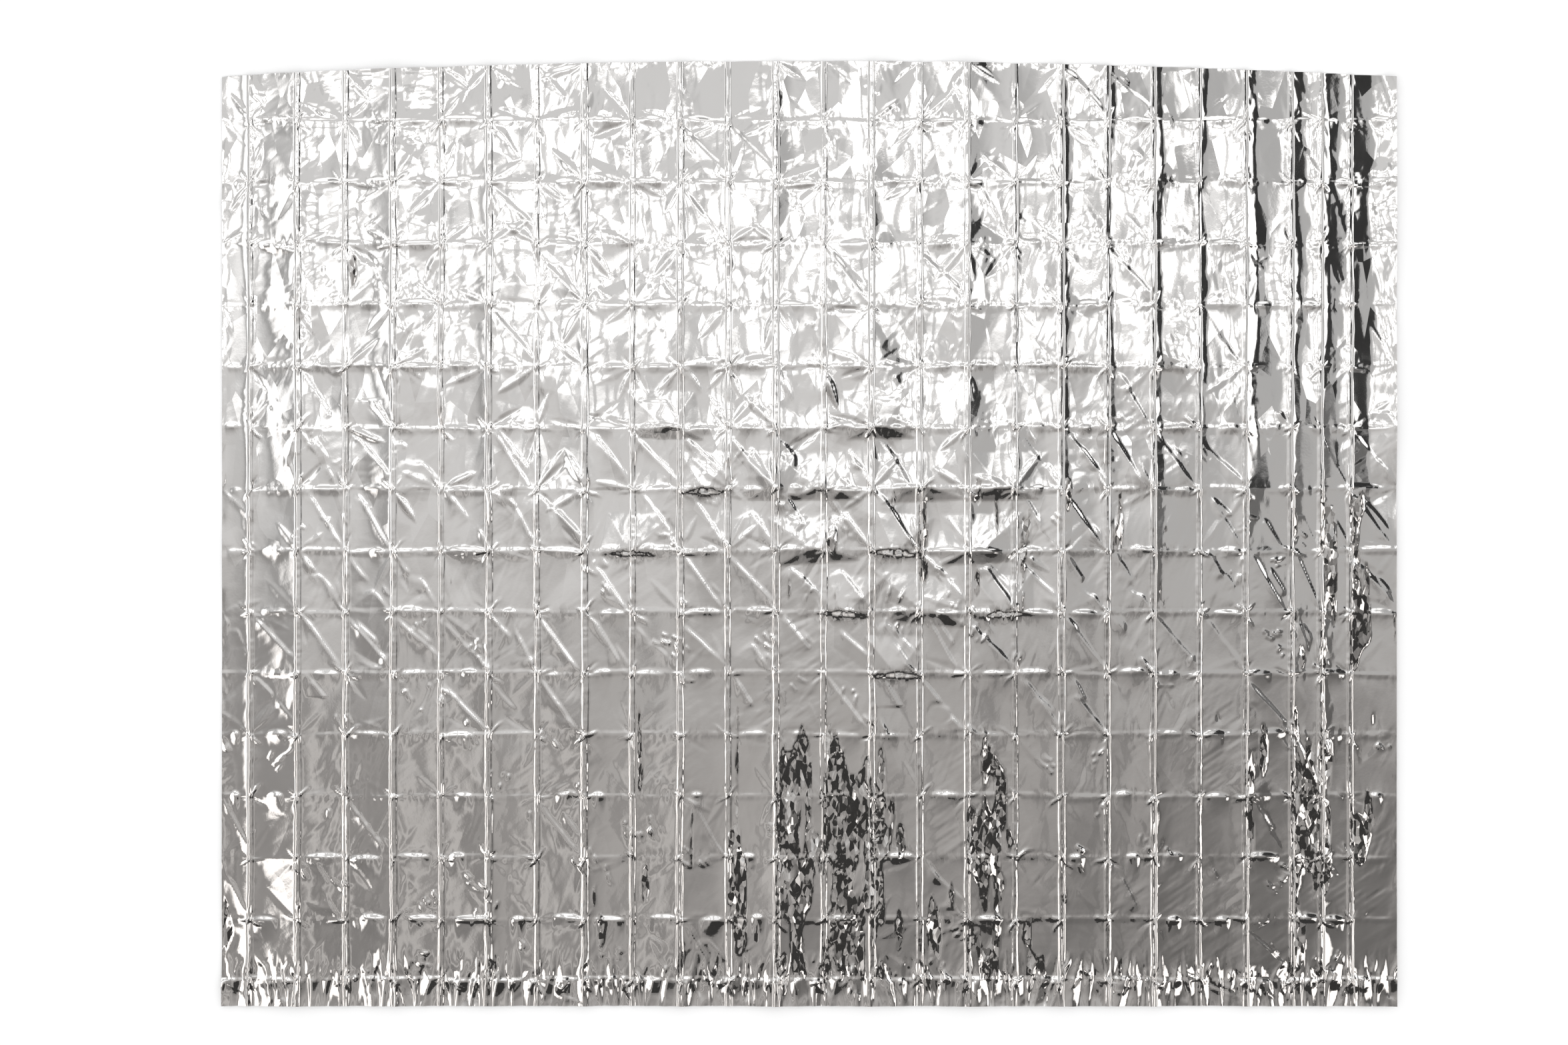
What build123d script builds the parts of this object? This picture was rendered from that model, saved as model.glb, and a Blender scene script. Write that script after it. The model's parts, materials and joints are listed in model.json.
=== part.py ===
"""A single-ply rescue blanket, laid out flat after being unfolded from its pack.

The blanket is one sheet of aluminised film. Its factory creases run along Y and divide it into
fold panels. Each fold panel is one thin plate here, and neighbouring plates meet at a crease,
which is a living hinge. The plates make a shallow zigzag: a crease that lies on the ground is
followed by one that stands up as a low ridge. The first panel lies flat on the ground.

Millimetres, +Z up. X runs across the creases, Y along them. The origin is at the middle of the
overall box, at ground level.
"""

from build123d import *

import os
from math import cos, radians, sin

# The sheet as it was cut.
CUT_WIDTH = 2100.0
CUT_LENGTH = 1600.0

# Fold panels from left to right: a part-width panel at the edge, the full panels, then two
# narrow ones and a last full one at the right edge.
EDGE_PANEL = 48.0
LEFT_PANELS, LEFT_PANEL = 16, 81.0
RIGHT_PANELS, RIGHT_PANEL = 6, 78.0
NARROW_PANELS, NARROW_PANEL = 2, 50.0

# The top edge is drawn in at its two ends, where the film is the most wrinkled.
TOP_EDGE_BOW = 26.0

# Degrees that a panel tips out of the ground plane. The last one curls up to its free edge.
PANEL_TILT = 2.5
FREE_EDGE_TILT = 8.5

# The film is far thinner than this. The plate stands in for the film with its fine crinkles.
PLATE_THICKNESS = 0.3

widths = (
    [EDGE_PANEL]
    + [LEFT_PANEL] * LEFT_PANELS
    + [RIGHT_PANEL] * RIGHT_PANELS
    + [NARROW_PANEL] * NARROW_PANELS
    + [RIGHT_PANEL]
)
crease_count = len(widths) - 1

# The film that a crease takes up. The plates stop short of the crease line by half of it.
crease_band = (CUT_WIDTH - sum(widths)) / crease_count


def tilt(panel):
    """Degrees that a panel rises (+) or falls (-) towards +X. Panels 1 and 2 are a pair, and so on."""
    if panel == 0:
        return 0.0
    if panel == crease_count:
        return FREE_EDGE_TILT
    return PANEL_TILT if panel % 2 else -PANEL_TILT


def fold_lines():
    """(x, z) of the left edge, of each crease line and of the right edge, from left to right."""
    line_x, line_z = 0.0, PLATE_THICKNESS / 2
    lines = [(line_x, line_z)]
    for panel, width in enumerate(widths):
        line_x += width * cos(radians(tilt(panel)))
        line_z += width * sin(radians(tilt(panel)))
        lines.append((line_x, line_z))
    middle = line_x / 2
    return [(x - middle, z) for x, z in lines]


def top_edge(x, half_width):
    """Y of the top edge at x: a shallow arc that is highest in the middle."""
    return CUT_LENGTH / 2 - TOP_EDGE_BOW * (x / half_width) ** 2


def fold_panel(panel, lines):
    """One plate between two crease lines, tipped about the left one."""
    left_x, left_z = lines[panel]
    right_x, _ = lines[panel + 1]
    half_width = lines[-1][0]
    start = 0.0 if panel == 0 else crease_band / 2
    end = widths[panel] if panel == crease_count else widths[panel] - crease_band / 2
    outline = Polyline(
        (start, -CUT_LENGTH / 2),
        (end, -CUT_LENGTH / 2),
        (end, top_edge(right_x, half_width)),
        (start, top_edge(left_x, half_width)),
        close=True,
    )
    plate = extrude(make_face(outline), amount=PLATE_THICKNESS / 2, both=True)
    return Pos(left_x, 0, left_z) * Rot(0, -tilt(panel), 0) * plate


os.makedirs("parts", exist_ok=True)
lines = fold_lines()
for panel in range(len(widths)):
    export_step(fold_panel(panel, lines), f"parts/fold_panel_{panel:02d}.step")

print("film in each crease", round(crease_band, 2))
print("as laid", round(lines[-1][0] * 2, 1), "x", CUT_LENGTH)
print("free edge at", round(lines[-1][1], 1))
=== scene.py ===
"""A rescue blanket of aluminised film, laid open: its film, its finish and the studio around it."""

import json

import bmesh
import bpy
import numpy as np
from bpy.props import FloatProperty, PointerProperty, StringProperty
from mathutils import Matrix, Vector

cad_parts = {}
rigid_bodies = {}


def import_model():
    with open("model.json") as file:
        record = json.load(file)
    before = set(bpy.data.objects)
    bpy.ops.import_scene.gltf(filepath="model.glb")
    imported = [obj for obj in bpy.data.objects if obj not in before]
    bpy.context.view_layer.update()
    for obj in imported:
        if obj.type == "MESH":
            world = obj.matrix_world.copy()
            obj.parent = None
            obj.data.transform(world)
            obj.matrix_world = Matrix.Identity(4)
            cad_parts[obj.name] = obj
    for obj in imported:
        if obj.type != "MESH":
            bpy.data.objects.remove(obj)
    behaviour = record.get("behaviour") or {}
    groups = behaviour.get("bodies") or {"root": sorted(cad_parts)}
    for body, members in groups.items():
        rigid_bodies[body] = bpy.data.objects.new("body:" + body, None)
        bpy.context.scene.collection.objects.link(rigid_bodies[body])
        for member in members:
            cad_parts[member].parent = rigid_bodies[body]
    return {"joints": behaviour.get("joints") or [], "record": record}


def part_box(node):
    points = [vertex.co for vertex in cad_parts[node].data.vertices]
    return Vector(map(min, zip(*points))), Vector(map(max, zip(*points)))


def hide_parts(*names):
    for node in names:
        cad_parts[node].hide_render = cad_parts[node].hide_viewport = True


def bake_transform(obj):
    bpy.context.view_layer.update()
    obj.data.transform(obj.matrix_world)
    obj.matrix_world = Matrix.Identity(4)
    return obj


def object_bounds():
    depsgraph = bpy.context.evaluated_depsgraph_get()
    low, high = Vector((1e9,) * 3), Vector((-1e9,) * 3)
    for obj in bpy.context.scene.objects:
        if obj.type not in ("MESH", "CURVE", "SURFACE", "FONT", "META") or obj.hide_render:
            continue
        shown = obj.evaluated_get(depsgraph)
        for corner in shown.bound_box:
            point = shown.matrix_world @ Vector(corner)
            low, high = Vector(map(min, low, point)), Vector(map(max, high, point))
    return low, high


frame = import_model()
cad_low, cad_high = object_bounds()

bl_info = {
    "name": "Rescue Blanket",
    "version": (1, 0, 0),
    "blender": (4, 5, 0),
    "location": "View3D > Sidebar > Rescue Blanket",
    "description": "Lays a creased sheet of aluminised film over its fold panels",
    "category": "Add Mesh",
}

MM = 0.001
FLOOR_GAP = 0.5 * MM  # between the floor and the underside of the sheet
HINGES = sorted(frame["joints"], key=lambda joint: joint["pos_m"][0])
PANELS = frame["record"]["behaviour"]["bodies"]


# --- The folds. Lengths are in millimetres until the meshes are made. ---


def panel_node(body):
    """The CAD plate that a body is made of."""
    return PANELS[body][0]


def fold_lines():
    """x and z of the left edge, of every crease that runs up the sheet, and of the right edge."""
    left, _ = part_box(panel_node(HINGES[0]["parent"]))
    _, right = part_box(panel_node(HINGES[-1]["child"]))
    points = [(left.x, left.z)]
    points += [(joint["pos_m"][0], joint["pos_m"][2]) for joint in HINGES]
    points += [(right.x, right.z)]
    return np.array(points).T / MM


class Folds:
    """The lattice of creases that folding the blanket small has left in it."""

    def __init__(self, film, x, z, low, high):
        self.x, self.z = x, z
        self.low, self.high = low, high
        edge, pitch = film.edge_row / MM, film.row_pitch / MM
        rows = np.arange(low + edge, high - 0.5 * pitch, pitch)
        self.y = np.array([low, *rows, high])
        self.columns, self.rows = len(self.x) - 1, len(self.y) - 1

    def cell(self, x, y):
        """Column and row numbers of each point, and its place in that cell, 0 to 1 each way."""
        column, p = between(x, self.x)
        row, q = between(y, self.y)
        return np.broadcast_arrays(column, row, p, q)


def between(value, lines):
    """Which gap between the lines each value is in, and how far across it, 0 to 1."""
    gap = np.clip(np.searchsorted(lines, value, side="right") - 1, 0, len(lines) - 2)
    return gap, (value - lines[gap]) / (lines[gap + 1] - lines[gap])


# --- Steady random numbers and the shapes made of them ---


def chance(i, j, seed):
    """A random number from -1 to 1 for each pair of whole numbers, always the same one."""
    i, j = np.asarray(i, np.int64), np.asarray(j, np.int64)
    n = (i * 374761393 + j * 668265263 + seed * 974634777) & 0xFFFFFFFF
    n = ((n ^ (n >> 13)) * 1274126177) & 0xFFFFFFFF
    return (n ^ (n >> 16)) / 2.0**31 - 1.0


def ramp(value, start, end):
    """0 at start and 1 at end, eased at both; start may be the larger."""
    t = np.clip((value - start) / (end - start), 0.0, 1.0)
    return t * t * (3.0 - 2.0 * t)


def ridge(distance, width):
    """A rounded ridge 1 high, about twice that width across."""
    return np.exp(-((distance / width) ** 2))


def waves(x, y, long_x, long_y, seed):
    """Smooth random undulation of those wavelengths, -1 to 1."""
    u, v = x / long_x, y / long_y
    i, j = np.floor(u), np.floor(v)
    a, b = ramp(u - i, 0, 1), ramp(v - j, 0, 1)
    near = chance(i, j, seed) * (1 - a) + chance(i + 1, j, seed) * a
    far = chance(i, j + 1, seed) * (1 - a) + chance(i + 1, j + 1, seed) * a
    return near * (1 - b) + far * b


def facets(x, y, size, seed):
    """Flat triangles of about that size with random corner heights, -1 to 1."""
    warp = 0.30
    u = x / size + warp * waves(x, y, 1.9 * size, 1.9 * size, seed + 71)
    v = y / size + warp * waves(x, y, 1.9 * size, 1.9 * size, seed + 137)
    skew = (u + v) * 0.5 * (3**0.5 - 1)
    i, j = np.floor(u + skew), np.floor(v + skew)
    a, b = u + skew - i, v + skew - j
    first, last = chance(i, j, seed), chance(i + 1, j + 1, seed)
    right = first * (1 - a) + chance(i + 1, j, seed) * (a - b) + last * b
    left = first * (1 - b) + chance(i, j + 1, seed) * (b - a) + last * a
    return np.where(a > b, right, left)


# --- The relief, one layer each: all give a height for every x and y ---


def arch(place, power):
    """1 in the middle and 0 at both ends, rounder in the middle the larger the power."""
    return 1.0 - np.abs(2.0 * place - 1.0) ** power


def skewed(place, lean):
    """The same places, crowded towards one end."""
    return np.clip(place + lean * np.sin(np.pi * place), 0.0, 1.0)


def slack(y):
    """How loosely the film lies, from 0 where it was smoothed down to 1 at the upper part."""
    return ramp(y, -170, 140)


def window(x, y, left, low, across, up):
    """The points near a place: where they are in the grid, and how far each is from the place."""
    wide = np.where(np.abs(x[:, 0] - left) < across)[0]
    deep = np.where(np.abs(y[0] - low) < up)[0]
    return np.ix_(wide, deep), x[wide] - left, y[:, deep] - low


def level(x, y):
    """A height of 0 for every x and y, to add to."""
    return np.zeros(np.broadcast_shapes(x.shape, y.shape))


def plates(x, y, folds):
    """Each cell is bent along a diagonal, between corners that stand at different heights."""
    i, j = np.meshgrid(np.arange(folds.columns + 1), np.arange(folds.rows + 1), indexing="ij")
    loose = 1.1 + 0.7 * slack(folds.y[j]) * (1 - 0.4 * ramp(folds.y[j], 560, 720))
    corner = 2.6 + loose * chance(i, j, 5)
    column, row, p, q = folds.cell(x, y)
    low_left, low_right = corner[column, row], corner[column + 1, row]
    top_left, top_right = corner[column, row + 1], corner[column + 1, row + 1]
    fall = low_left * (1 - p - q) + top_right * (p + q - 1) + low_right * (1 + p - q) + top_left * (1 + q - p)
    fall += (low_left + top_right - low_right - top_left) * np.hypot(1 - p - q, 0.04)
    rise = low_right * (p - q) + top_left * (q - p) + low_left * (2 - p - q) + top_right * (p + q)
    rise += (low_right + top_left - low_left - top_right) * np.hypot(p - q, 0.04)
    return 0.5 * np.where(chance(column, row, 9) > -0.45, fall, rise)


def dishes(x, y, folds):
    """The film sags between its creases, which stand up as ridges round every cell."""
    column, row, p, q = folds.cell(x, y)
    free = slack(y) * (1 - 0.7 * ramp(y, 640, 720))
    deep = 0.6 + 0.4 * chance(column, row, 11) + free * (0.5 + 0.7 * chance(column, row, 14))
    p = skewed(p, 0.22 * chance(column, row, 12))
    q = skewed(q, 0.25 * chance(column, row, 13))
    return -deep * arch(p, 2.4) ** 0.8 * arch(q, 2.0)


def troughs(x, y, folds):
    """Whole columns sag between their long creases, steeply at the upper right."""
    column, row, p, _ = folds.cell(x, y)
    right = ramp(x, 260, 520) * ramp(y, 0, 200)
    deep = 0.8 + 0.6 * chance(column, 0, 65)
    deep = deep + slack(y) * (1.4 + 0.8 * chance(column, 2, 70) + 0.4 * chance(column, row, 70))
    even = -deep * np.sin(np.pi * skewed(p, 0.22 * chance(column, 1, 66)))
    drop = 0.17 + 0.25 * ramp(x, 440, 940) + 0.04 * chance(column, 0, 69) + 0.06 * waves(x, y, 400, 110, 67)
    drop = np.clip(drop + 0.02 * waves(x, y, 400, 17, 68), 0.07, 0.5)
    fall, rise = p / drop, (1 - p) / (1 - drop)
    width = (folds.x[column + 1] - folds.x[column]) * drop
    steep = 0.21 * width * (1 + 0.15 * chance(column, row, 65))
    floor = np.clip(0.80 + 0.20 * chance(column, 2, 69) + 0.10 * waves(x, y, 400, 120, 77), 0.3, 1.0)
    fine = 0.30 * waves(x + 0.25 * y, y, 6.5, 60, 71) + 0.45 * waves(x + 0.15 * y, y, 15, 90, 72)
    fine = fine * ramp(waves(x, y, 60, 90, 73), -0.5, 0.5)
    sides = np.minimum(np.minimum(fall, rise), floor)
    return even * (1 - right) - right * (steep * sides - 1.3 * ramp(x, 400, 800) * fine)


def long_creases(x, y, folds):
    """The creases that run up the sheet: flat-topped ridges a few millimetres wide, with sharp sides."""
    z = level(x, y)
    reach = 16
    for line in range(1, folds.columns):
        near = np.abs(x[:, 0] - folds.x[line]) < reach
        lane = np.full_like(y, line)
        row, _ = between(y, folds.y)
        wander = 1.3 * chance(line, row, 20)
        wander = wander + 0.8 * waves(lane * 17.3, y, 1, 60, 21) + 0.3 * waves(lane * 11.1, y, 1, 14, 22)
        half = 2.6 + 0.8 * chance(line, 0, 23) + 0.6 * waves(lane * 7.7, y, 1, 45, 24)
        tall = 1.25 + 0.25 * chance(line, 1, 28) + 0.35 * waves(lane * 5.1, y, 1, 70, 25)
        off = x[near] - folds.x[line] - wander
        side = 3.4 - 0.8 * ramp(y, 0, 200)
        top = ramp(off, -half - side, -half) * (1 - ramp(off, half, half + side))
        groove = 0.35 * ridge(off - 0.5 * chance(line, 2, 29) * half, 1.2)
        puckers = (0.26 - 0.16 * slack(y)) * waves(x[near], y, 400, 4.4, 27) * ridge(off, 5.0)
        z[near] += tall * (top - groove) + puckers
    return z


# How strong each row crease is, counted from the bottom, for those that stand out.
STRONG_ROWS = {1: 3.2, 2: 1.1, 6: 1.1, 7: 1.2, 8: 1.3, 9: 1.2, 14: 1.3, 15: 1.1}


def cross_creases(x, y, folds):
    """The creases that run across: narrow ridges that step between columns, some with a turned-up edge."""
    z = level(x, y)
    column, p = between(x, folds.x)
    reach = 54
    for row in range(1, folds.rows):
        near = np.abs(y[0] - folds.y[row]) < reach
        up = y[:, near]
        free = slack(folds.y[row])
        lowest = row == 1
        slant = 2.6 * chance(column, row, 31) + 3.0 * chance(column, row, 32) * (p - 0.5)
        off = up - folds.y[row] - slant - 0.5 * waves(x, up, 30, 400, 35)
        tall = (0.42 + 0.20 * chance(column, row, 34)) * STRONG_ROWS.get(row, 0.9)
        broken = 0.35 + 0.65 * ramp(waves(x, up, 30, 500, 37), -0.5 - 0.4 * lowest, 0.1 - 0.4 * lowest)
        half = 1.2 + 0.6 * chance(column, row, 33)
        below, above = (26.0, 4.5) if lowest else (8.0 + 4.0 * free, 3.0)
        top = ramp(off, -half - below, -half) * (1 - ramp(off, half, half + above))
        # a sliver: the film turned up along part of the crease, falling gently away from it
        long, middle = 0.27 + 0.15 * chance(column, row, 81), 0.5 + 0.22 * chance(column, row, 82)
        lens = np.clip(1 - ((p - middle) / long) ** 2, 0, 1) ** 0.75 * (chance(column, row, 83) > 0.0)
        tail = 30 + 16 * ramp(folds.y[row], 0, -600)
        turned = np.clip(1 + off / tail, 0, 1) ** 2 * np.clip(1 - off / (2.5 + 5.0 * lens), 0, 1)
        turned = turned * lens * (1.5 + 0.4 * chance(column, row, 84) + 1.1 * ramp(folds.y[row], -250, -700))
        turned = turned * (0.3 if lowest else 1.0)
        fringe = waves(x, up, 5.5, 34, 38) * 0.36 * np.exp(-np.abs(off) / 10) * (1 - ridge(off, 2.0))
        amount = 0.25 + 1.0 * ramp(waves(x, up, 110, 300, 39), -0.3, 0.5) + 0.4 * free
        shreds = free * waves(x, up, 34, 4.6, 30) * 0.14 * np.exp(-np.abs(off) / 9)
        z[:, near] += tall * top * broken + turned + fringe * amount + shreds
    return z


def stroke(across, up, turn, length, tall, wide):
    """A straight crumple from the origin in that direction, which fades out towards its end."""
    along = across * np.cos(turn) + up * np.sin(turn)
    off = up * np.cos(turn) - across * np.sin(turn) + 1.1 * np.sin(along / 5 + turn)
    ends = ramp(along, 0, 4) * (1 - ramp(along, 0.35 * length, length))
    return tall * ends * ridge(off, wide + 0.04 * np.abs(along))


def birds_feet(x, y, folds):
    """Short crumples that fan out from each crossing of creases."""
    z = level(x, y)
    across_window, up_window = 40, 44
    draw = np.random.default_rng(7)
    for line in range(1, folds.columns):
        for row in range(1, folds.rows):
            middle = folds.y[row] + 2.0 * draw.uniform(-1, 1)
            edge = row == folds.rows - 1
            count = draw.integers(3, 8)
            turns = draw.uniform(0, 2 * np.pi, count)
            if edge:
                downwards = draw.uniform(size=count) < 0.7
                turns = np.where(downwards, -0.5, 0.5) * np.pi + draw.normal(0, 0.5, count)
            lengths = draw.uniform(10, 38, count) * (1.4 if edge else 1.0)
            heights = draw.uniform(0.4, 1.2, count) * draw.choice([-0.7, 1.0], count, p=[0.35, 0.65])
            here, across, up = window(x, y, folds.x[line], middle, across_window, up_window)
            patch = 0.8 * ridge(np.hypot(across, up), 2.6)
            for turn, length, tall in zip(turns, lengths, heights):
                patch = patch + stroke(across, up, turn, length, 1.2 * tall, 1.5)
            z[here] += patch
    return z


def wedges(x, up, first, draw):
    """Flat wedges side by side, widest at the crease and lost a few centimetres away from it."""
    count = 160
    knots = first + np.cumsum(draw.uniform(6, 20, count))
    heights = draw.uniform(1.2, 2.8, count) * (-1.0) ** np.arange(count)
    lean, reach = draw.uniform(-0.4, 0.4, count), draw.uniform(20, 60, count)
    place = x + np.interp(x, knots, lean) * up
    away = np.where(up > 0, up / np.interp(place, knots, reach), -up / 90)
    return np.interp(place, knots, heights) * np.clip(1 - away, 0, 1)


def bottom_fans(x, y, folds):
    """Strokes and wedges all along the lowest row crease, and streaks down the part row below it."""
    z = level(x, y)
    draw = np.random.default_rng(23)
    spacing, across_window, up_window = 13.0, 50, 72
    for middle in np.arange(folds.x[0], folds.x[-1], spacing):
        middle = middle + draw.uniform(-6, 6)
        upwards = draw.uniform() < 0.6
        turn = (0.5 if upwards else -0.5) * np.pi + draw.normal(0, 0.33)
        length = draw.uniform(16, 62) * (1.0 + 0.2 * ramp(middle, -200, -500))
        tall = draw.uniform(0.8, 1.8)
        here, across, up = window(x, y, middle, folds.y[1], across_window, up_window)
        z[here] += stroke(across, up, turn, length, tall, 2.8)
    z += wedges(x, y - folds.y[1], folds.x[0], draw)
    streaks = waves(x, y, 15, 160, 74) + 0.45 * waves(x, y, 8, 90, 75)
    streaks = streaks * ramp(waves(x, y, 90, 900, 76), -0.7, 0.2)
    return z + streaks * ramp(y, folds.y[1] + 30, folds.y[1] - 6)


def nicks(x, y, folds):
    """Short strokes in the middles of cells, in flocks that mostly lean from upper left to lower right."""
    z = level(x, y)
    draw = np.random.default_rng(29)
    flocks, margin, reach = 190, 30, 48
    for _ in range(flocks):
        flock_x = draw.uniform(folds.x[0] + margin, folds.x[-1] - margin)
        flock_y = draw.uniform(folds.low + margin, folds.high - margin - 10)
        lean = draw.normal(-0.95, 0.35) if draw.uniform() < 0.7 else draw.uniform(0, np.pi)
        here, across, up = window(x, y, flock_x, flock_y, reach, reach)
        patch = 0
        for _ in range(draw.integers(2, 7)):
            left, lower = draw.normal(0, 9, 2)
            turn = lean + draw.normal(0, 0.18)
            length, tall = draw.uniform(8, 30), draw.uniform(0.5, 1.4)
            patch = patch + stroke(across - left, up - lower, turn, length, tall, 2.4)
        z[here] += patch * (1 - 0.6 * slack(flock_y))
    return z


def stars(x, y, folds):
    """Long bends that spread from the crossings of creases, so the film between them lies in flat facets."""
    z = level(x, y)
    draw = np.random.default_rng(19)
    longest = 85
    for line in range(folds.columns + 1):
        for row in range(folds.rows + 1):
            count = draw.integers(1, 4)
            turns = draw.uniform(0, 2 * np.pi, count)
            lengths = draw.uniform(55, longest, count)
            slopes = draw.uniform(0.07, 0.19, count) * draw.choice([-1.0, 1.0], count, p=[0.3, 0.7])
            calm = 1 - 0.5 * ramp(folds.x[line], 250, 500)
            slopes = slopes * (0.34 + 0.66 * slack(folds.y[row])) * calm
            here, across, up = window(x, y, folds.x[line], folds.y[row], longest, longest)
            for turn, length, slope in zip(turns, lengths, slopes):
                along = across * np.cos(turn) + up * np.sin(turn)
                off = up * np.cos(turn) - across * np.sin(turn)
                spread = np.clip(0.30 * along, 0, None) * np.clip(1.6 * (1 - along / length), 0, 1)
                z[here] += slope * np.clip(spread - np.abs(off), 0, None)
    return z


def diagonals(x, y, folds):
    """Creases across cells, from upper left to lower right, most of all through the middle of the sheet."""
    column, row, p, q = folds.cell(x, y)
    share = ramp(y, -400, -220) * (1 - ramp(y, 140, 240)) * 0.55 + 0.12
    diagonal = 62.0
    there = (chance(column, row, 41) + 1) / 2 < share
    inside = np.clip(5 * np.minimum(np.minimum(p, 1 - p), np.minimum(q, 1 - q)), 0, 1)
    z = 0
    for shift, seed, gaps in ((0.0, 42, -0.6), (0.14, 141, 0.1)):
        bend = shift + 0.10 * chance(column, row, seed) + 0.20 * chance(column, row, seed + 3) * (p - q)
        off = ((p + q - 1) - bend + 0.015 * waves(x, y, 30, 30, seed + 2)) * diagonal
        broken = ramp(waves(x, y, 44, 44, seed + 4), gaps, gaps + 0.4)
        tall = 1.2 + 0.4 * chance(column, row, seed + 1)
        z = z + tall * broken * np.exp(np.minimum(off, 0) / 16) * np.clip(1 - off / 5.5, 0, 1)
    return z * there * inside


# How much of each column is crushed near the bottom edge, for the columns that stand out.
CRUSHED_COLUMNS = {
    9: 0.25, 10: 0.30, 11: 0.30, 12: 0.72, 13: 0.70, 14: 0.42, 15: 0.25, 16: 0.40, 17: 0.30, 23: 0.30
}


def crushed(x, y, folds):
    """How finely crushed the film is, 0 to 1: in tongues that run up the sheet beside the long creases."""
    column, _, p, _ = folds.cell(x, y)
    crushed_share = np.array([CRUSHED_COLUMNS.get(number, 0.0) for number in range(folds.columns)])
    bottom = ramp(y, -220, -470)
    corner = ramp(x, 640, 760) * ramp(y, -620, -520) * (1 - ramp(y, -330, -250))
    middle = ramp(x, -80, 30) * (1 - ramp(x, 300, 900)) * ramp(y, -230, -120) * (1 - ramp(y, 60, 130))
    fine = ramp(x, 760, 840) * ramp(y, -260, -200) * (1 - ramp(y, 40, 110))
    lane = crushed_share[column] + 0.30 * waves(column * 17.3, y, 1, 120, 90)
    common = 0.10 + bottom * (0.06 + lane) + 0.42 * corner + 0.30 * middle + 0.58 * fine
    beside = np.abs(p - 0.13 - 0.35 * bottom * crushed_share[column])
    tongue = 0.30 * facets(x, 0.35 * y, 34, 91) + 0.36 * waves(x, y, 11, 75, 92) - 0.7 * beside
    return ramp(tongue, 0.50 - common, 0.60 - common) * ramp(y, folds.y[1] - 10, folds.y[1] + 20)


def crumples(x, y, folds):
    """The small sharp bends of the crushed patches."""
    return crushed(x, y, folds) * (1.5 * facets(x, 0.5 * y, 24, 93) + 0.4 * facets(1.4 * x, 0.7 * y, 15, 94))


def creased_skin(x, y, folds):
    """How much of the finest crinkles shows, 0 to 1: in crushed patches and along creases."""
    row, q = between(y, folds.y)
    off = np.minimum(q, 1 - q) * (folds.y[row + 1] - folds.y[row])
    along = ridge(off + 4 * waves(x, y, 40, 400, 98), 10) * ramp(waves(x, y, 60, 300, 97), -0.2, 0.6)
    along = along * ramp(y, folds.y[1] + 30, folds.y[1] + 70)
    column, p = between(x, folds.x)
    off = np.minimum(p, 1 - p) * (folds.x[column + 1] - folds.x[column])
    up = ridge(off, 6) * ramp(waves(x, y, 50, 26, 99), -0.3, 0.7)
    skin = np.maximum(crushed(x, y, folds), along * (0.18 + 0.10 * slack(y)))
    skin = np.maximum(skin, 0.22 * up)
    for row, middle, reach, tall, slope in POCKETS:
        below = ridge(x - middle, 0.7 * reach) * ridge(y - folds.y[row] + 0.5 * tall / slope, 11)
        skin = np.maximum(skin, ramp(slope, 0.15, 0.40) * below)
    return skin


def wrinkles(x, y, folds):
    """Fine wrinkles, drawn out along a direction that changes over the sheet."""
    z = level(x, y)
    heading = 0.95 + 0.9 * waves(x, y, 110, 130, 51)
    for turn, seed in ((0.0, 52), (0.6, 53), (1.2, 54), (1.9, 55)):
        u = x * np.cos(turn) + y * np.sin(turn)
        v = y * np.cos(turn) - x * np.sin(turn)
        lines = 0.11 * waves(u, v, 30, 5.5, seed) + 0.22 * waves(u, v, 60, 12, seed + 9)
        z += ridge(heading - turn, 0.45) * lines
    strong = 0.3 + 1.1 * ramp(waves(x, y, 80, 100, 59), -0.2, 0.6)
    return z * strong * (1.0 - 0.25 * slack(y) + 0.6 * ramp(y, 0, 200) * ramp(x, 0, 500))


def facets_of_film(x, y, folds):
    """Large flat facets, where handling has bent the film of the upper part every way."""
    upper = ramp(y, -60, 180) * (1 - 0.6 * ramp(y, 650, 720))
    left = 1 - 0.7 * ramp(x, 100, 500)
    patchy = 0.35 + 0.65 * ramp(waves(x, y, 150, 150, 61), -0.4, 0.3)
    sizes = 2.8 * facets(x, y, 96, 62) + 1.6 * facets(x, y, 56, 63)
    return (0.22 + 0.42 * upper * left) * patchy * sizes


def swell(x, y, folds):
    """The slow rise and fall of a light sheet that was smoothed by hand; the bottom edge curls up."""
    slow = 1.5 * waves(x, y, 420, 330, 71) + 0.8 * waves(x, y, 170, 190, 72)
    return slow + 3.4 * ramp(y, folds.y[1] + 6, folds.low - 20)


# Pockets that stand up from a row crease: the crease's number, x, half the length, height, and slope below.
POCKETS = (
    (9, -176, 44, 5.0, 0.42),
    (8, 12, 72, 5.0, 0.20),
    (8, 146, 50, 5.0, 0.42),
    (6, 150, 50, 4.5, 0.42),
    (8, -300, 54, 4.0, 0.30),
    (9, 190, 74, 4.5, 0.18),
    (9, 20, 60, 4.0, 0.18),
    (9, 330, 66, 4.5, 0.20),
    (8, 290, 70, 4.5, 0.18),
    (9, -60, 48, 4.0, 0.18),
    (7, 60, 50, 4.0, 0.35),
    (7, 200, 70, 4.5, 0.18),
    (7, 330, 50, 4.0, 0.35),
    (10, -240, 60, 4.5, 0.20),
    (10, 120, 60, 4.5, 0.20),
)


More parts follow.
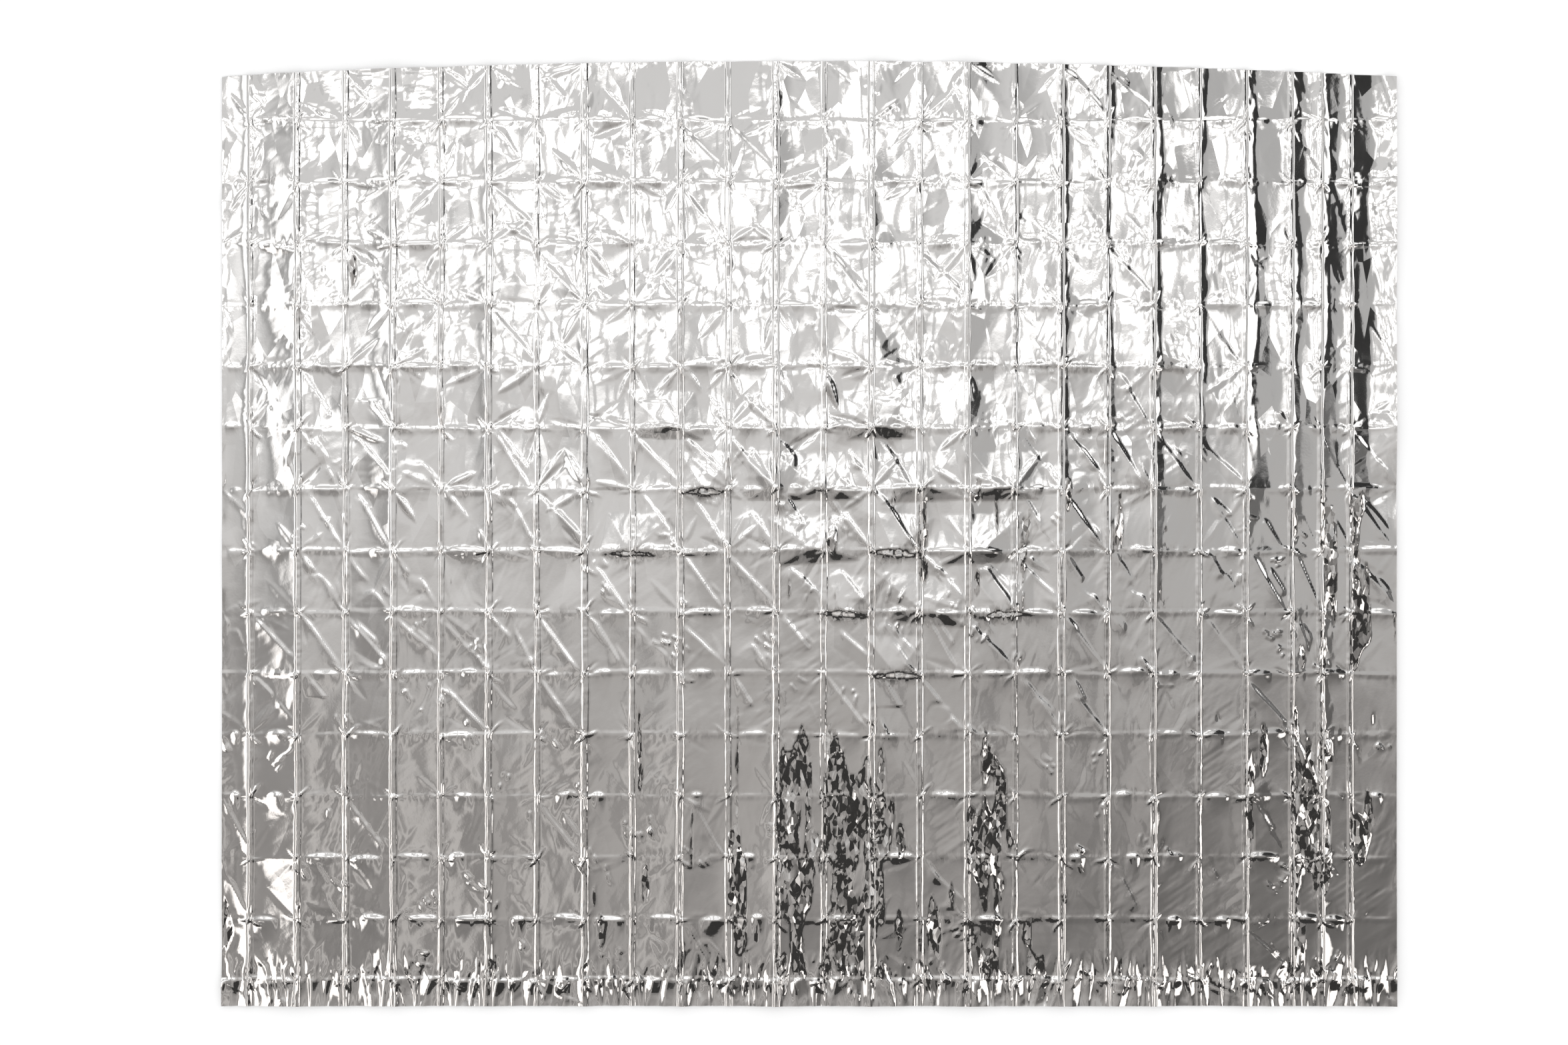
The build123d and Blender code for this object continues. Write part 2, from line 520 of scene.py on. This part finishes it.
def pockets(x, y, folds):
    """Where the film has buckled upwards into a tent: it falls away gently above and steeply below."""
    z = level(x, y)
    for number, (row, middle, reach, tall, slope) in enumerate(POCKETS):
        lean = 0.35 * chance(number, row, 95)
        up = y - folds.y[row] - 3.0 + 0.10 * (x - middle) * chance(number, row, 96)
        across = np.abs(x - middle - lean * up) / reach
        sides = 1.15 * (1 - across)
        z += np.clip(np.minimum(tall * np.minimum(sides, 1 - up / 60), tall + slope * up), 0, None)
    return z


LAYERS = (
    plates,
    dishes,
    troughs,
    long_creases,
    cross_creases,
    birds_feet,
    bottom_fans,
    nicks,
    stars,
    diagonals,
    crumples,
    wrinkles,
    facets_of_film,
    swell,
    pockets,
)


def on_floor(z):
    """The sheet lies on the floor: what would sink below it is pressed flat instead."""
    give = 0.8
    return give * np.logaddexp(0.0, z / give)


def film_height(film, folds, x, y):
    """Height of the film above the floor at every x and y."""
    zigzag = np.interp(x, folds.x, folds.z) * (1 - 0.5 * ramp(x, 200, 600))
    relief = sum(layer(x, y, folds) for layer in LAYERS)
    return on_floor(zigzag + film.relief * relief)


# --- The sheet as a grid of points that all the strips share ---


def grid_across(film, folds):
    """x of the grid's columns, closer together at the creases. Mid-column is always one of them."""
    step, stops = film.grid_step / MM, []
    for left, right in zip(folds.x[:-1], folds.x[1:]):
        near = min(8.0, 0.3 * (right - left))
        fine = max(3, round(near / (0.5 * step)))
        coarse = 2 * max(2, round((right - left - 2 * near) / (2 * step)))
        stops += [*np.linspace(left, left + near, fine, endpoint=False)]
        stops += [*np.linspace(left + near, right - near, coarse, endpoint=False)]
        stops += [*np.linspace(right - near, right, fine, endpoint=False)]
    return np.array([*stops, folds.x[-1]])


def cut_edges(film, folds, x, y):
    """Moves the grid's points to the sheet's real outline: the top edge is bowed and scalloped."""
    top = folds.y[-2]
    bow = film.top_bow / MM * (x / folds.x[-1]) ** 2
    _, p = between(x, folds.x)
    scallop = 1.4 * (np.sin(np.pi * p) - 1)
    share = np.clip((y - top) / (folds.y[-1] - top), 0, 1)
    return x + 0.0 * y, y - share * (bow - scallop)


def whole_sheet(film, folds):
    """Points and normals of the whole film, as arrays of shape (across, up, 3)."""
    x = grid_across(film, folds)[:, None]
    y = np.linspace(folds.low, folds.high, 1 + round((folds.high - folds.low) * MM / film.grid_step))[None, :]
    z = film_height(film, folds, x, y)
    points = np.stack([*cut_edges(film, folds, x, y), z], axis=-1)
    normals = np.cross(np.gradient(points, axis=0), np.gradient(points, axis=1))
    return points, normals / np.linalg.norm(normals, axis=-1, keepdims=True), creased_skin(x, y, folds)


def strip_edges(folds):
    """Where each strip of film starts and ends: at mid-column, but for the two outer edges."""
    middles = 0.5 * (folds.x[:-1] + folds.x[1:])
    return [folds.x[0], *middles[1:-1], folds.x[-1]]


def strip_mesh(name, points, normals, skin):
    """A flat grid of faces, moved point by point to this part of the film."""
    across, up = points.shape[:2]
    bm = bmesh.new()
    bmesh.ops.create_grid(bm, x_segments=across - 1, y_segments=up - 1, size=1.0)
    for face in bm.faces:
        face.smooth = True
    places = np.array([(vertex.co.x, vertex.co.y) for vertex in bm.verts])
    mesh = bpy.data.meshes.new(name)
    bm.to_mesh(mesh)
    bm.free()
    i, j = np.rint((places + 1) / 2 * (across - 1, up - 1)).astype(int).T
    mesh.vertices.foreach_set("co", (points[i, j] * MM).ravel())
    mesh.attributes.new("crinkled", "FLOAT", "POINT").data.foreach_set("value", skin[i, j].astype(np.float32))
    mesh.normals_split_custom_set_from_vertices(normals[i, j])
    mesh.update()
    return mesh


def film_strip(number, points, normals, skin, material):
    """One strip of the film, centred on a crease; the panel plates that it stands for are hidden."""
    joint = HINGES[number - 1]
    mesh = strip_mesh(f"film_strip_{number:02d}", points, normals, skin)
    mesh.materials.append(material)
    strip = bpy.data.objects.new(mesh.name, mesh)
    bpy.context.scene.collection.objects.link(strip)
    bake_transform(strip)
    stands_for = [joint["parent"], joint["child"]] if number == 1 else [joint["child"]]
    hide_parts(*[panel_node(body) for body in stands_for])
    return strip


# --- Finishes ---


def linear(colour):
    """The linear colour of an sRGB hex value, for a shader."""
    parts = [int(colour[i : i + 2], 16) / 255 for i in (1, 3, 5)]
    return [*(c / 12.92 if c <= 0.04045 else ((c + 0.055) / 1.055) ** 2.4 for c in parts), 1.0]


def add(tree, kind, inputs=None, **settings):
    """Adds a node with its settings. Each input is a value, or the output that feeds it."""
    node = tree.nodes.new(kind)
    for name, value in settings.items():
        setattr(node, name, value)
    for name, value in (inputs or {}).items():
        if isinstance(value, bpy.types.NodeSocket):
            tree.links.new(value, node.inputs[name])
        else:
            node.inputs[name].default_value = value
    return node


def new_material(name):
    """An empty node material, and its tree with only an output."""
    material = bpy.data.materials.new(name)
    material.use_nodes = True
    material.node_tree.nodes.clear()
    return material, material.node_tree


def small_facets(tree, place, normal, amount, turn, size, tilt, sag=1.15):
    """Tilts the normal by a random amount in each long narrow facet, for bends too small to be shape.

    A sag of 1 tilts them evenly up and down the sheet; more than that tilts most of them down.
    """
    drawn_out = {"Vector": place, "Rotation": (0, 0, turn), "Scale": (1.4, 0.65, 1.0)}
    drawn_out = add(tree, "ShaderNodeMapping", drawn_out, vector_type="POINT").outputs["Vector"]
    cells = add(tree, "ShaderNodeTexVoronoi", {"Vector": drawn_out, "Scale": 1 / size}).outputs["Color"]
    spread = {0: cells, 1: (2 * tilt, 2 * tilt, 0), 2: (-tilt, -sag * tilt, 0)}
    lean = add(tree, "ShaderNodeVectorMath", spread, operation="MULTIPLY_ADD").outputs["Vector"]
    lean = add(tree, "ShaderNodeVectorMath", {0: lean, "Scale": amount}, operation="SCALE").outputs["Vector"]
    tilted = add(tree, "ShaderNodeVectorMath", {0: normal, 1: lean}, operation="ADD").outputs["Vector"]
    return add(tree, "ShaderNodeVectorMath", {0: tilted}, operation="NORMALIZE").outputs["Vector"]


def aluminised_polyester(finish):
    """Polyester film, 0.012 mm thick, with aluminium evaporated on it in a vacuum.

    To the eye it is a soft mirror: bright metal that is nearly neutral, clear where it is flat,
    greyed where folding has rubbed it, and broken into sparks by crinkles too small to be shape.
    """
    material, tree = new_material("aluminised_polyester_film")
    place = add(tree, "ShaderNodeTexCoord").outputs["Object"]
    crinkle = add(tree, "ShaderNodeTexNoise", {"Vector": place, "Scale": 1 / finish.crinkle, "Detail": 2.0})
    flutter = add(tree, "ShaderNodeTexNoise", {"Vector": place, "Scale": 1 / finish.flutter, "Detail": 1.0})
    rippled = add(
        tree,
        "ShaderNodeBump",
        {"Height": flutter.outputs["Fac"], "Distance": finish.flutter_depth, "Strength": 1.0},
    )
    crinkled = add(
        tree,
        "ShaderNodeBump",
        {
            "Height": crinkle.outputs["Fac"],
            "Distance": finish.crinkle_depth,
            "Strength": 1.0,
            "Normal": rippled.outputs["Normal"],
        },
    )
    normal = crinkled.outputs["Normal"]
    amount = add(tree, "ShaderNodeAttribute", attribute_name="crinkled").outputs["Fac"]
    tilt = finish.facet_tilt
    for turn, size in ((0.12, 1.4), (-0.35, 0.6)):
        normal = small_facets(tree, place, normal, amount, turn, size * finish.facet, tilt, sag=1.5)
    height = add(tree, "ShaderNodeSeparateXYZ", {"Vector": place}).outputs["Y"]
    loose = {"Value": height, "From Min": -0.10, "From Max": 0.20, "To Min": finish.plate_tilt, "To Max": 1.0}
    loose = add(tree, "ShaderNodeMapRange", loose).outputs["Result"]
    normal = small_facets(tree, place, normal, loose, 0.15, finish.plate, 0.04)
    rubbed = add(tree, "ShaderNodeTexNoise", {"Vector": place, "Scale": 1 / finish.rub, "Detail": 3.0})
    rough = add(
        tree,
        "ShaderNodeMapRange",
        {
            "Value": rubbed.outputs["Fac"],
            "From Min": 0.35,
            "From Max": 0.7,
            "To Min": finish.roughness,
            "To Max": 1.8 * finish.roughness,
        },
    )
    metal = add(
        tree,
        "ShaderNodeBsdfPrincipled",
        {
            "Base Color": linear(finish.metal),
            "Metallic": 1.0,
            "Roughness": rough.outputs["Result"],
            "Normal": normal,
        },
    )
    add(tree, "ShaderNodeOutputMaterial", {"Surface": metal.outputs["BSDF"]})
    return material


def matt_card(studio):
    """White-painted studio board, rolled: flat white with no gloss at all."""
    material, tree = new_material("matt_white_board")
    board = add(tree, "ShaderNodeBsdfDiffuse", {"Color": linear(studio.floor), "Roughness": 1.0})
    add(tree, "ShaderNodeOutputMaterial", {"Surface": board.outputs["BSDF"]})
    return material


def soft_edges(tree, x, y, left, right, near, far):
    """1 inside a soft-edged rectangle and 0 outside. Each edge is (outside, inside) in metres, or None."""
    mask = 1.0
    for value, edge in ((x, left), (x, right), (y, near), (y, far)):
        if edge:
            outside, inside = edge
            eased = {"Value": value, "From Min": outside, "From Max": inside}
            step = add(tree, "ShaderNodeMapRange", eased, interpolation_type="SMOOTHSTEP").outputs["Result"]
            mask = add(tree, "ShaderNodeMath", {0: mask, 1: step}, operation="MULTIPLY").outputs["Value"]
    return mask


def grey_room(tree, place):
    """Brightness of the room beyond the studio: it falls away from the middle, then rises a little."""
    distance = add(tree, "ShaderNodeVectorMath", {0: place}, operation="LENGTH").outputs["Value"]
    fall = {"Value": distance, "From Min": 4.8, "From Max": 7.5, "To Min": 0.80, "To Max": 0.22}
    rise = {"Value": distance, "From Min": 7.5, "From Max": 12.0, "To Min": 0.0, "To Max": 0.5}
    fall, rise = (add(tree, "ShaderNodeMapRange", part).outputs["Result"] for part in (fall, rise))
    return add(tree, "ShaderNodeMath", {0: fall, 1: rise}, operation="ADD").outputs["Value"]


def joists():
    """Rows of the ceiling's table, for the beams under its near end and the light between them."""
    half, soft = 0.10, 0.05
    for middle, shade in (
        (-1.62, 0.16),
        (-1.38, 0.60),
        (-1.12, 0.16),
        (-0.88, 0.55),
        (-0.62, 0.18),
        (0.55, 0.18),
        (1.12, 0.14),
    ):
        left = middle - half, middle - soft
        right = middle + half, middle + soft
        yield shade, 0.5, left, right, (-2.4, -2.2), (-0.3, -0.7)


def lit_ceiling(studio):
    """What hangs over the sheet and shows in it, as brightness laid out over a level plane.

    Each row of the table is laid over the rows before it: a brightness, how much of it shows, and
    the soft edges that it ends at, left, right, near and beyond.
    """
    material, tree = new_material("studio_ceiling")
    place = add(tree, "ShaderNodeTexCoord").outputs["Object"]
    axes = add(tree, "ShaderNodeSeparateXYZ", {"Vector": place}).outputs
    x, y = axes["X"], axes["Y"]
    light, dim, black = studio.softbox, studio.ceiling, studio.black
    far = grey_room(tree, place)
    lit = dim
    for shade, share, left, right, near, beyond in (
        (dim + 0.25, 1.0, None, None, (-2.1, -0.1), None),  # grey ceiling, lighter away from the camera
        (0.6 * dim, 0.7, (0.7, 1.9), None, None, (-0.2, -1.1)),  # and dimmer to the right, in a corner
        (dim + 0.05, 0.7, None, (-1.5, -2.0), (-1.4, -1.0), (1.2, 0.6)),  # and dimmer to the left
        (0.45, 0.55, (-2.2, -0.8), (0.2, -0.7), None, (-0.3, -1.0)),  # and lighter left of the camera
        (0.85, 0.45, (-2.6, -2.0), (1.2, 0.4), (-0.6, 0.2), None),  # spill below the softbox
        *joists(),
        (light, 1.0, (-2.3, -1.8), (1.60, 1.30), (0.20, 0.75), (1.44, 1.28)),  # softbox
        (0.50, 0.85, (-0.74, -0.68), (-0.46, -0.52), (0.1, 0.4), (1.6, 1.4)),  # and its frame's bars
        (0.47, 0.85, (0.16, 0.22), (0.46, 0.40), (0.1, 0.4), (1.6, 1.4)),
        (0.50, 0.85, (0.84, 0.90), (1.08, 1.02), (0.1, 0.4), (1.6, 1.4)),
        (0.50, 0.85, (-1.54, -1.48), (-1.26, -1.32), (0.1, 0.4), (1.6, 1.4)),
        (0.50, 0.85, (-2.3, -1.8), (1.6, 1.3), (0.84, 0.88), (1.06, 1.02)),
        (black, 1.0, (1.85, 1.95), (3.2, 3.0), (0.1, 0.4), (2.3, 1.9)),  # black flag beside it
        (0.08, 0.85, (2.0, 2.15), (3.15, 2.95), (-2.6, -2.4), (0.3, 0.1)),  # dark gap along the right wall
        (black, 1.0, None, None, None, (-2.8, -3.0)),  # dark room behind the camera
        (black, 1.0, (-0.8, -0.3), None, None, (-2.45, -2.6)),
        (black, 1.0, (-0.35, -0.25), (1.05, 0.95), None, (-1.82, -1.92)),  # whoever works the camera
        (1.3, 1.0, None, (-2.4, -2.9), (-2.4, -2.2), None),  # white wall to the left
        (1.3, 1.0, (3.1, 3.4), None, (-2.6, -2.4), None),  # white wall to the right
        (1.2, 1.0, None, (-2.05, -2.3), (-2.6, -2.4), (-1.15, -1.35)),  # whose near ends stand closer in
        (1.2, 1.0, (2.2, 2.4), None, (-2.6, -2.4), (-1.15, -1.35)),
        (1.1, 1.0, None, None, (2.3, 2.7), None),  # white wall beyond the top edge
        (far, 1.0, None, (-4.4, -5.2), None, None),  # and a grey room all round
        (far, 1.0, (4.8, 5.6), None, None, None),
        (far, 1.0, None, None, None, (-4.8, -5.6)),
        (far, 1.0, None, None, (4.4, 5.2), None),
    ):
        mask = soft_edges(tree, x, y, left, right, near, beyond)
        mask = add(tree, "ShaderNodeMath", {0: mask, 1: share}, operation="MULTIPLY").outputs["Value"]
        lit = {"Factor": mask, "A": lit, "B": shade}
        lit = add(tree, "ShaderNodeMix", lit, data_type="FLOAT").outputs["Result"]
    warm = add(tree, "ShaderNodeMapRange", {"Value": y, "From Min": 0.4, "From Max": -0.9}).outputs["Result"]
    less = [value - 1 for value in linear(studio.lamplight)[:3]]
    tint = {0: less, 1: warm, 2: (1, 1, 1)}
    tint = add(tree, "ShaderNodeVectorMath", tint, operation="MULTIPLY_ADD").outputs["Vector"]
    glow = add(tree, "ShaderNodeEmission", {"Color": tint, "Strength": lit})
    add(tree, "ShaderNodeOutputMaterial", {"Surface": glow.outputs["Emission"]})
    material.cycles.emission_sampling = "NONE"
    return material


# --- The studio ---


def flat_square(name, side, height, material):
    """A level square of that side, centred over the sheet."""
    bm = bmesh.new()
    bmesh.ops.create_grid(bm, x_segments=1, y_segments=1, size=side / 2)
    bmesh.ops.translate(bm, verts=bm.verts, vec=(0, 0, height))
    mesh = bpy.data.meshes.new(name)
    bm.to_mesh(mesh)
    bm.free()
    mesh.materials.append(material)
    square = bpy.data.objects.new(name, mesh)
    bpy.context.scene.collection.objects.link(square)
    return square


def overhead_camera(studio):
    """A camera straight above, level with the sheet's edges."""
    data = bpy.data.cameras.new("overhead")
    data.sensor_width = 36.0
    data.lens = data.sensor_width * studio.camera_height / studio.view_width
    data.dof.use_dof = False
    camera = bpy.data.objects.new("overhead", data)
    camera.location = (studio.camera_x, studio.camera_y, studio.camera_height)
    bpy.context.scene.collection.objects.link(camera)
    bpy.context.scene.camera = camera


def soft_daylight(studio):
    """An even white surround, which lights the floor; what gloss shows of it darkens towards the horizon."""
    world = bpy.data.worlds.new("white_surround")
    world.use_nodes = True
    tree = world.node_tree
    tree.nodes.clear()
    place = add(tree, "ShaderNodeSeparateXYZ", {"Vector": add(tree, "ShaderNodeTexCoord").outputs["Object"]})
    rise = {"Value": place.outputs["Z"], "From Min": 0.0, "From Max": 0.28, "To Min": 0.22, "To Max": 0.75}
    room = add(tree, "ShaderNodeMapRange", rise).outputs["Result"]
    gloss = add(tree, "ShaderNodeLightPath").outputs["Is Glossy Ray"]
    seen = {"Factor": gloss, "A": studio.surround, "B": room}
    seen = add(tree, "ShaderNodeMix", seen, data_type="FLOAT").outputs["Result"]
    glow = add(tree, "ShaderNodeBackground", {"Color": (1, 1, 1, 1), "Strength": seen})
    add(tree, "ShaderNodeOutputWorld", {"Surface": glow.outputs["Background"]})
    bpy.context.scene.world = world


# --- The add-on ---


def metres(name, description, default):
    """A setting that is a length."""
    return FloatProperty(
        name=name,
        description=description,
        default=default,
        min=0.0,
        unit="LENGTH",
        precision=4,
    )


def coordinate(name, description, default):
    """A setting that is a place along an axis."""
    return FloatProperty(name=name, description=description, default=default, unit="LENGTH")


def positive(name, description, default):
    """A setting that is a plain number, 0 or more."""
    return FloatProperty(name=name, description=description, default=default, min=0.0)


class FilmSettings(bpy.types.PropertyGroup):
    """How the sheet was folded, and how far it stands up from the floor."""

    edge_row: metres("Edge Row", "Height of the part row along the bottom edge", 0.043)
    row_pitch: metres("Row Pitch", "Distance between the creases that run across", 0.104)
    top_bow: metres("Top Bow", "How much lower the top edge is at its ends than at its middle", 0.026)
    grid_step: metres("Grid Step", "Distance between the film's points away from the creases", 0.0026)
    crease_take_up: metres("Crease Take-up", "Film that each crease takes up, beyond the laid width", 0.0044)
    bend_reach: metres("Bend Reach", "How far each side of a crease the film turns as it folds", 0.008)
    relief: positive("Relief", "Multiplies the height of every crumple", 1.0)


class FinishSettings(bpy.types.PropertyGroup):
    """The metal side of the film."""

    metal: StringProperty(name="Metal", description="Colour of the aluminium, as sRGB hex", default="#FBF9F7")
    roughness: FloatProperty(
        name="Roughness",
        description="Of film that nothing has rubbed",
        default=0.05,
        min=0,
        max=1,
        subtype="FACTOR",
    )
    crinkle: metres("Crinkle", "Size of the finest crinkles", 0.004)
    crinkle_depth: metres("Crinkle Depth", "Depth of the finest crinkles", 0.00003)
    flutter: metres("Flutter", "Distance between the slack ripples of a flat cell", 0.022)
    flutter_depth: metres("Flutter Depth", "Depth of the slack ripples", 0.00010)
    facet: metres("Facet", "Size of the facets in crushed patches", 0.015)
    plate: metres("Plate", "Size of the broad flat facets", 0.050)
    plate_tilt: positive("Plate Tilt", "Slope of the lower part's broad facets, against the upper's", 0.2)
    facet_tilt: positive("Facet Tilt", "Steepest slope of the facets in crushed patches", 0.19)
    rub: metres("Rubbed Patches", "Size of the patches that handling has dulled", 0.060)


class StudioSettings(bpy.types.PropertyGroup):
    """The floor, the lights that the film reflects, and the camera."""

    floor: StringProperty(name="Floor", description="Colour of the floor, as sRGB hex", default="#F4F4F4")
    ceiling: positive("Ceiling", "Brightness of the ceiling's dark end", 0.17)
    lamplight: StringProperty(name="Lamplight", description="Tint of the room's near end", default="#FFFBF8")
    softbox: positive("Softbox", "Brightness of the softbox", 1.6)
    black: positive("Flag", "Brightness of black cloth", 0.03)
    surround: positive("Surround", "Brightness of the white surround", 1.2)
    floor_side: metres("Floor Side", "Length of the floor's sides", 14.0)
    ceiling_side: metres("Ceiling Side", "Length of the ceiling's sides", 24.0)
    ceiling_height: metres("Ceiling Height", "Height of the ceiling over the floor", 3.4)
    camera_height: metres("Camera Height", "Height of the camera over the floor", 3.2)
    view_width: metres("View Width", "Width of floor that the camera sees", 2.657)
    camera_x: coordinate("Camera X", "Camera's place across the sheet", -0.042)
    camera_y: coordinate("Camera Y", "Camera's place up the sheet", 0.018)


class BLANKET_OT_film(bpy.types.Operator):
    """Lays the film: one strip for each crease that runs up the sheet"""

    bl_idname = "blanket.film"
    bl_label = "Lay Film"

    def execute(self, context):
        film = context.scene.blanket_film
        folds = Folds(film, *fold_lines(), cad_low.y / MM, cad_high.y / MM)
        points, normals, skin = whole_sheet(film, folds)
        material = aluminised_polyester(context.scene.blanket_finish)
        rounding = 0.01
        stops = np.searchsorted(grid_across(film, folds), np.array(strip_edges(folds)) - rounding)
        for number, (first, last) in enumerate(zip(stops[:-1], stops[1:]), start=1):
            part = slice(first, last + 1)
            film_strip(number, points[part], normals[part], skin[part], material)
        if number != len(HINGES):
            raise RuntimeError(f"{number} strips for {len(HINGES)} creases")
        return {"FINISHED"}


class BLANKET_OT_studio(bpy.types.Operator):
    """Sets the floor, the lights and the camera"""

    bl_idname = "blanket.studio"
    bl_label = "Set Studio"

    def execute(self, context):
        studio = context.scene.blanket_studio
        flat_square("floor", studio.floor_side, -FLOOR_GAP, matt_card(studio))
        ceiling = flat_square("ceiling", studio.ceiling_side, studio.ceiling_height, lit_ceiling(studio))
        ceiling.visible_camera = False
        ceiling.visible_diffuse = False
        ceiling.visible_shadow = False
        soft_daylight(studio)
        overhead_camera(studio)
        context.scene.view_settings.view_transform = "Standard"
        return {"FINISHED"}


class BLANKET_PT_panel(bpy.types.Panel):
    """Lists the blanket's settings and its operators"""

    bl_label = "Rescue Blanket"
    bl_idname = "BLANKET_PT_panel"
    bl_space_type = "VIEW_3D"
    bl_region_type = "UI"
    bl_category = "Rescue Blanket"

    def draw(self, context):
        for settings, operators in SECTIONS:
            box = self.layout.box()
            group = getattr(context.scene, settings)
            for name in type(group).__annotations__:
                box.prop(group, name)
            for operator in operators:
                box.operator(operator)


SECTIONS = (
    ("blanket_film", ("blanket.film",)),
    ("blanket_finish", ()),
    ("blanket_studio", ("blanket.studio",)),
)
CLASSES = (FilmSettings, FinishSettings, StudioSettings, BLANKET_OT_film, BLANKET_OT_studio, BLANKET_PT_panel)


def register():
    for cls in CLASSES:
        bpy.utils.register_class(cls)
    bpy.types.Scene.blanket_film = PointerProperty(type=FilmSettings)
    bpy.types.Scene.blanket_finish = PointerProperty(type=FinishSettings)
    bpy.types.Scene.blanket_studio = PointerProperty(type=StudioSettings)


def unregister():
    for settings, _ in SECTIONS:
        delattr(bpy.types.Scene, settings)
    for cls in reversed(CLASSES):
        bpy.utils.unregister_class(cls)


def main():
    register()
    bpy.ops.blanket.film()
    bpy.ops.blanket.studio()


if __name__ == "__main__":
    main()
